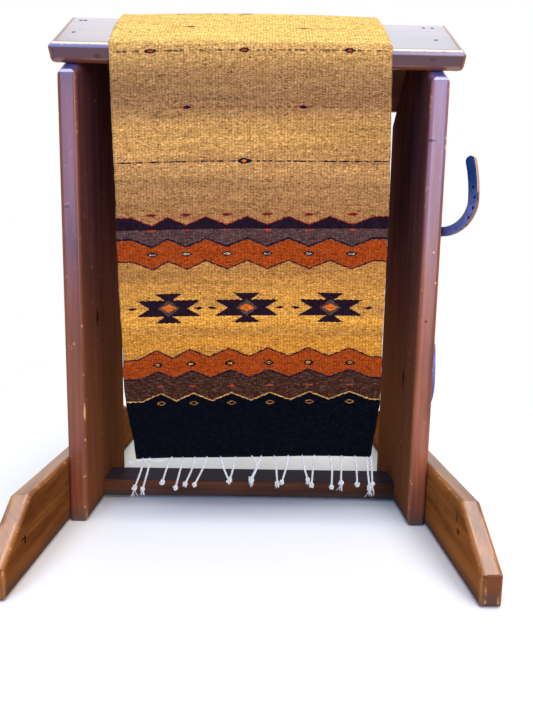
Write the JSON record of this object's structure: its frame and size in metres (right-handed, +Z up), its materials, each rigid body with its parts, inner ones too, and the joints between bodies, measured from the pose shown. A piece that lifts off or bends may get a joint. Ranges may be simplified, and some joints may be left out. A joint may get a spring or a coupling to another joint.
{
  "type": "saddle stand with rug",
  "caption": "Free-standing gabled wooden stand that a riding saddle sits on, with long feet, a low rail, a horseshoe hook and a woven rug draped over its ridge.",
  "frame": {"origin": "on the floor, midway between the two uprights and midway between the front and back ends of the feet", "axes": "+X to the right, towards the upright with the horseshoe hook; +Y to the back; +Z up. The ridge runs along X"},
  "size_m": [0.8416, 0.924, 1.0618],
  "materials": {
    "stained_wood": "red-brown stain under satin varnish",
    "foot_wood": "worn red-brown stain under satin varnish",
    "screw_steel": "dark, dull",
    "blued_iron": "dark blue-black forge finish, worn brown on the rim",
    "rug_wool": "hand-woven wool, gold ground with banded zigzag pattern",
    "fringe_cotton": "white twisted cotton"
  },
  "bodies": {
    "stand": {"front_roof_board": "stained_wood", "rear_roof_board": "stained_wood", "left_upright_front_board": "stained_wood", "left_upright_rear_board": "stained_wood", "right_upright_front_board": "stained_wood", "right_upright_rear_board": "stained_wood", "lower_rail": "stained_wood", "left_foot": "foot_wood", "right_foot": "foot_wood", "roof_screws": "screw_steel", "left_foot_screws": "screw_steel", "right_foot_screws": "screw_steel", "rail_screws": "screw_steel", "horseshoe_hook": "blued_iron", "hook_nails": "blued_iron", "flat_horseshoe": "blued_iron", "flat_horseshoe_nails": "blued_iron"},
    "rug": {"rug": "rug_wool", "front_fringe": "fringe_cotton", "rear_fringe": "fringe_cotton"}
  },
  "joints": [
    {"name": "rug_lift", "type": "slide", "parent": "stand", "child": "rug", "axis": [0, 0, 1], "range_m": [0, 1]}
  ]
}
